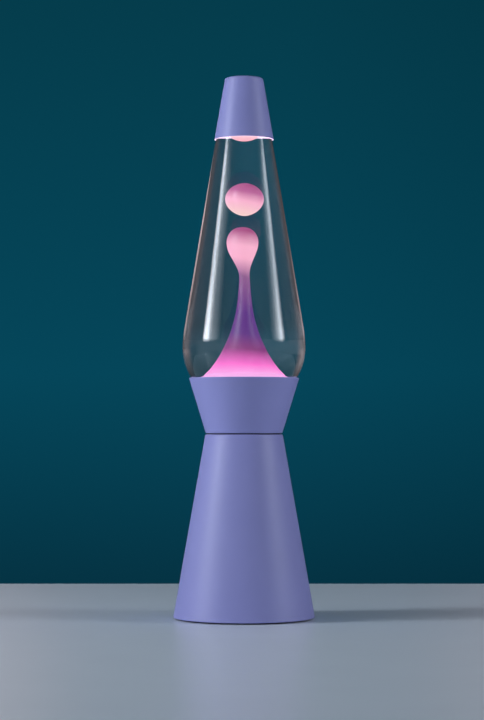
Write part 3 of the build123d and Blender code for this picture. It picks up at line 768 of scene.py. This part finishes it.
def bulb_line(inset):
    """From the open end up the neck, out to the widest part, and over the dome."""
    centre = (0, GLASS_HIGH - GLASS_RADIUS)
    neck, wide = NECK_RADIUS - inset, GLASS_RADIUS - inset
    rise = centre[1] - (SHELL_HIGH + 3.0)
    swell = []
    for i in range(25):
        t = i / 24
        swell.append((neck + (wide - neck) * (3 * t**2 - 2 * t**3) ** 0.85, SHELL_HIGH + 3.0 + rise * t))
    dome = arc(centre, wide, 0, 90, 3.0)[1:-1]
    return [(neck, GLASS_LOW)] + swell + dome + [(0, GLASS_HIGH - inset)]


envelope = bulb_line(0) + bulb_line(0.6)[::-1]
lamp_bulb = turned("bulb_envelope", envelope, closed=True, around=128)
lamp_bulb.data.materials.append(lamp_glass.material)
lamp_bulb.visible_shadow = False


def shell_line():
    steps = 120
    middle = SHELL_RADIUS - 0.3
    rise = (SHELL_HIGH - SHELL_LOW) / steps
    outside = [(middle, SHELL_LOW + rise * i) for i in range(steps + 1)]
    return outside + [(middle - 0.75, z) for _, z in reversed(outside)]


shell = grown(
    "screw_shell", ripple, turned("shell_sheet", shell_line(), closed=True, around=96),
    Ridges=1.0, Pitch=-THREAD_PITCH * MM, Depth=0.3 * MM, Low=(SHELL_LOW - 0.2) * MM,
    High=(SHELL_HIGH - 0.8) * MM, Fade=1.2 * MM, Material=alloy.material,
)


# %% [markdown]
# ## The filament
# The filament is tungsten at about 2,500 degrees, so its colour is its own light. A finish that only
# glows would be flat white, so the glow varies a little along the wire, as the turns of a coil do.

# %% Light the filament
def hot_wire():
    wire = Finish("hot tungsten")
    turns = wire.noise(0.5, detail=1.0)
    wire.set(Base_Color=srgb(90, 84, 80), Metallic=1.0, Roughness=0.4)
    wire.set(Emission_Color=wire.mix(turns, srgb(255, 176, 96), srgb(255, 226, 168)), Emission_Strength=6.0)
    return wire


give(hot_wire(), "bulb_filament")


# %% [markdown]
# ## The coil in the wax
# A long wire spring, bent into a ring, lies on the bottle's floor. It spreads the bulb's heat through
# the wax and gives the blobs that come back something to merge on. A spring round a ring has a plain
# formula, so Geometry Nodes set each point of a line by its index, and then give the line its
# thickness. The inputs are the real sizes of the spring.

# %% Wind the coil
def coil_tree():
    labels = {"Turns": "count", "Points": "count", "Ring": "number", "Turn": "number",
              "Wire": "number", "Height": "number", "Material": "material"}
    tree = Tree("coil", labels)
    line = tree.add("GeometryNodeMeshLine", None, {"Count": tree.given("Points")})
    index = tree.add("GeometryNodeInputIndex")
    last = tree.maths("SUBTRACT", tree.given("Points"), 1.0)
    share = tree.maths("DIVIDE", index, last)
    sweep = tree.maths("MULTIPLY", share, math.tau * 0.985)
    spin = tree.maths("MULTIPLY", sweep, tree.given("Turns"))
    reach = tree.maths("MULTIPLY", tree.maths("COSINE", spin), tree.given("Turn"))
    radius = tree.maths("ADD", tree.given("Ring"), reach)
    rise = tree.maths("MULTIPLY", tree.maths("SINE", spin), tree.given("Turn"))
    place = tree.add("ShaderNodeCombineXYZ", None, {
        0: tree.maths("MULTIPLY", radius, tree.maths("COSINE", sweep)),
        1: tree.maths("MULTIPLY", radius, tree.maths("SINE", sweep)),
        2: tree.maths("ADD", tree.given("Height"), rise),
    })
    line = tree.add("GeometryNodeSetPosition", None, {0: line, "Position": place})
    curve = tree.add("GeometryNodeMeshToCurve", None, {0: line})
    circle = tree.add("GeometryNodeCurvePrimitiveCircle", None, {"Resolution": 8, "Radius": tree.given("Wire")})
    tube = tree.add("GeometryNodeCurveToMesh", None, {"Curve": curve, "Profile Curve": circle, "Fill Caps": True})
    tree.finish(tube)
    return tree


COIL_LOW, COIL_HIGH, COIL_REACH = size_of("wax_coil")
WIRE = 0.45
COIL_TURN = (COIL_HIGH - COIL_LOW) / 2 - WIRE
coil = grown(
    "wax_coil_spring", coil_tree(), add_object("coil_start", bpy.data.meshes.new("coil_start")),
    Turns=30, Points=30 * 22, Ring=(COIL_REACH - COIL_TURN - WIRE) * MM, Turn=COIL_TURN * MM,
    Wire=WIRE * MM, Height=(COIL_LOW + COIL_HIGH) / 2 * MM, Material=coil_steel.material,
)


# %% [markdown]
# ## Fixing the pieces to the frame
# Each new piece takes the place of the CAD node of the same part, which is hidden, and rides on that part's body.
# Each row also names a slot in the table of finishes, which nothing here uses.

# %% Fix the pieces
for piece, node, slot, body in [
    (bottle, "bottle", "bottle_glass", "bottle"),
    (liquid, "liquid", "clear_liquid", "bottle"),
    (column, "wax_column", "pink_wax", "bottle"),
    (coil, "wax_coil", "coil_wire", "bottle"),
    (crown, "crown_cap", "crown_metal", "bottle"),
    (blob, "wax_blob", "pink_wax", "wax_blob"),
    (top_blob, "top_wax_blob", "pink_wax", "top_wax_blob"),
    (lamp_bulb, "bulb_glass", "bulb_glass", "bulb"),
    (shell, "bulb_shell", "bulb_alloy", "bulb"),
]:
    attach(piece, body)
    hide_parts(node)


# %% [markdown]
# ## The table, the studio and the lights
# The lamp stands on a plain pale table in a small studio. Glass and satin paint show what stands round
# them, so the studio is as much a part of the look as the finishes are. Behind the lamp is a deep
# teal wall, at the wall's ends stand warm grey reflectors, and in front is a grey room. Two tall curved
# screens, each lit at one edge, draw the two long soft lines of light on the glass. Two warm cards that
# only reflections show put a thin salmon line along the bottle's outermost edges.
# A world colour would be simpler, but it is endlessly far away, and the bent view through the bottle
# would then show the wrong part of it. So the studio is a large dome whose finish glows by place.

# %% Set the table
def plain_top():
    top = Finish("pale table top")
    mottle = top.noise(60.0, detail=3.0)
    top.set(Base_Color=top.mix(mottle, srgb(215, 226, 236), srgb(220, 231, 241)), Roughness=0.34)
    return top


def table_top(width, front, back, thickness, edge):
    shape = bmesh.new()
    bmesh.ops.create_cube(shape, size=1.0)
    for vert in shape.verts:
        x, y, z = vert.co
        vert.co = (x * width, (front + back) / 2 + y * (back - front), (z - 0.5) * thickness)
    bmesh.ops.bevel(shape, geom=shape.edges[:], offset=edge, segments=4, affect="EDGES", profile=0.5)
    mesh = bpy.data.meshes.new("table")
    shape.to_mesh(mesh)
    shape.free()
    made = add_object("table", mesh)
    made.data.materials.append(plain_top().material)
    return made


table = table_top(width=2.4, front=-1.3, back=0.325, thickness=0.03, edge=0.002)
table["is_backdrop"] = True


# %% Build the studio's dome
DOME_RADIUS = 3200.0


def only_glows(finish, colour):
    """Makes a finish give out light and reflect none."""
    light = finish.add("ShaderNodeEmission", {}, {"Color": colour, "Strength": 1.0})
    finish.feed(finish.output.inputs["Surface"], light)


def studio_finish():
    studio = Finish("studio walls")
    studio.material.cycles.emission_sampling = "NONE"
    across, back, height = (studio.place.part(axis) for axis in range(3))
    level = (across * across + back * back).power(0.5)
    behind = back / level
    wall = studio.ramp(studio.span(height, -0.32, 1.10), [
        (0.0, srgb(5, 45, 60)), (0.4, srgb(5, 70, 90)), (1.0, srgb(5, 60, 75)),
    ])
    wall = studio.mix(studio.span(across, 0.1, 0.75) * 0.2, wall, (0, 0, 0))
    rise = studio.span(height, 0.28, 0.70)
    left = studio.ramp(rise, [(0.0, (0.12, 0.10, 0.11)), (0.4, (0.25, 0.18, 0.19)), (1.0, (0.25, 0.19, 0.20))])
    right = studio.ramp(rise, [
        (0.0, (0.12, 0.10, 0.11)), (0.35, (0.25, 0.18, 0.19)), (0.6, (0.20, 0.15, 0.16)), (1.0, (0.09, 0.085, 0.10)),
    ])
    reflector = studio.mix(studio.span(across, -0.2, 0.2), left, right)
    room = studio.mix(studio.span(height, 0.5, 1.9), (0.60, 0.615, 0.68), (0.09, 0.094, 0.102))
    room = studio.mix(studio.span(across, 0.3, 2.2) * 0.45, room, (0, 0, 0))
    sides = studio.mix(studio.span(behind, -0.05, 0.25), room, reflector)
    sides = studio.mix(studio.span(height, 0.7, 1.8), sides, studio.mix(0.65, sides, (0, 0, 0)))
    only_glows(studio, studio.mix(studio.span(behind, 0.66, 0.81), sides, wall))
    return studio


dome = turned("studio_dome", arc((0, 0), DOME_RADIUS, -90, 90, 3.0)[1:-1], around=96)
dome.data.materials.append(studio_finish().material)
dome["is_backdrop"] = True
world = bpy.data.worlds.new("dark outside")
world.use_nodes = True
world.node_tree.nodes["Background"].inputs["Color"].default_value = (0, 0, 0, 1)
bpy.context.scene.world = world


# %% Hang the screens
SCREEN_DISTANCE = 1.3


def screen_mesh(name, start, end, low, high, side):
    """A tall curved screen round the lamp, between two bearings from the front, in degrees."""
    shape = bmesh.new()
    columns = []
    steps = 24
    for bearing in range(start, end + 1):
        turn = math.radians(bearing) * side
        x, y = math.sin(turn) * SCREEN_DISTANCE, -math.cos(turn) * SCREEN_DISTANCE
        rise = (high - low) / steps
        columns.append([shape.verts.new((x, y, low + rise * i)) for i in range(steps + 1)])
    for left, right in zip(columns, columns[1:]):
        for i in range(steps):
            shape.faces.new((left[i], right[i], right[i + 1], left[i + 1]))
    mesh = bpy.data.meshes.new(name)
    shape.to_mesh(mesh)
    shape.free()
    return mesh


def soft_screen(name, side, tone, bearings, heights, lean=0):
    """Lists give the share of the brightness at each bearing and height. lean turns the top outwards."""
    start, end = bearings[0][0], bearings[-1][0]
    low, high = heights[0][0], heights[-1][0]
    skin = Finish(name)
    x, y, z = (skin.place.part(axis) for axis in range(3))
    turn = skin.add("ShaderNodeMath", {"operation": "ARCTAN2"}, {0: x * side, 1: y * -1})
    bearing = turn * math.degrees(1) - skin.span(z, 0.62, 0.92) * lean
    stops = [((place - start) / (end - start), (share,) * 3) for place, share in bearings]
    across = skin.ramp(skin.span(bearing, start, end), stops)
    stops = [((place - low) / (high - low), (share,) * 3) for place, share in heights]
    up = skin.ramp(skin.span(z, low, high), stops)
    share = skin.add("ShaderNodeVectorMath", {"operation": "MULTIPLY"}, {0: across, 1: up})
    light = skin.add("ShaderNodeVectorMath", {"operation": "MULTIPLY"}, {0: share, 1: tone})
    only_glows(skin, light)
    screen = add_object(name, screen_mesh(name, start, end + lean, low, high, side))
    screen.data.materials.append(skin.material)
    screen.visible_camera = False
    screen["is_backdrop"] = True
    return screen


soft_screen("left_screen", -1, (13.5, 14.2, 15.4), [
    (44, 0.0), (50, 0.05), (58, 0.13), (65, 0.22), (69, 0.5), (73, 0.95), (77, 1.0), (80, 0.7), (84, 0.05),
], [(0.30, 0), (0.38, 1.6), (0.55, 1.6), (0.68, 1), (0.90, 1), (0.98, 0.42), (1.10, 0.3), (1.95, 0.22)])
soft_screen("right_screen", 1, (8.0, 8.4, 9.1), [
    (50, 0.0), (58, 0.09), (64, 0.28), (69, 0.6), (73, 1.0), (76, 0.95), (80, 0.3), (84, 0.0),
], [(0.30, 0), (0.38, 1.6), (0.55, 1.6), (0.68, 1), (0.89, 1), (0.97, 0.22), (1.10, 0.12), (1.95, 0.1)], lean=5)
edges = [(146, 0.0), (150, 0.7), (156, 1.0), (166, 1.0), (170, 0.0)]
left_edge = soft_screen("left_edge_card", -1, (0.80, 0.62, 0.63), edges, [
    (0.20, 0), (0.26, 0.05), (0.31, 0.8), (0.38, 1.2), (0.50, 1.9), (0.56, 0),
])
right_edge = soft_screen("right_edge_card", 1, (0.60, 0.47, 0.50), edges, [
    (0.20, 0), (0.26, 0.12), (0.31, 1.1), (0.36, 1.0), (0.44, 0.3), (0.56, 0),
])
for card in (left_edge, right_edge):
    card.visible_transmission = card.visible_diffuse = False


# %% [markdown]
# ## The bulb's light
# The bulb's warm light comes up through the bottle and fills the cap, and it shows as a pale line under the
# cap's rim. Tracing it from the bulb would be slow and grainy, so two small hidden lights stand where
# that light has got to: one in the bottle's neck and one in the pool of wax. Warm light on lavender
# paint looks salmon pink.

# %% Place the bulb's light
def warm_light(name, height, radius, power):
    """A small round light that shines upwards and can't be seen itself."""
    light = bpy.data.lights.new(name, "AREA")
    light.shape, light.size = "DISK", radius * 2
    light.energy, light.color = power, (1.0, 0.66, 0.40)
    lamp = add_object(name, light)
    lamp.location, lamp.rotation_euler = (0, 0, height), (math.pi, 0, 0)
    lamp.visible_camera = lamp.visible_glossy = lamp.visible_transmission = False


warm_light("light in the neck", 0.300, 0.005, 0.10)
warm_light("light in the pool", 0.142, 0.006, 0.03)


# %% [markdown]
# ## The camera
# A long lens from about a metre and a half, near the height of the stand's neck and tilted up a
# little, so the lamp's sides hardly converge.

# %% Place the camera
camera_data = bpy.data.cameras.new("camera")
camera_data.lens, camera_data.sensor_width = 106.7, 36.0
camera = add_object("camera", camera_data)
camera.location = (-0.0014, -1.452, 0.1294)
camera.rotation_euler = (math.radians(90 + 1.815), 0, 0)
bpy.context.scene.camera = camera
bpy.context.scene.view_settings.view_transform = "Standard"

# %% [markdown]
# ## Sizes and the end
# Both boxes, the frame's and the finished model's, are printed in millimetres. The finished
# model has to stay in the frame's box, so both boxes are written down to compare.

# %% Write the sizes and finish
visual_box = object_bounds()
boxes = {"cad": cad_box, "visual": visual_box}
for name, box in boxes.items():
    print(name, "box in mm:", [[round(v / MM, 1) for v in corner] for corner in box])
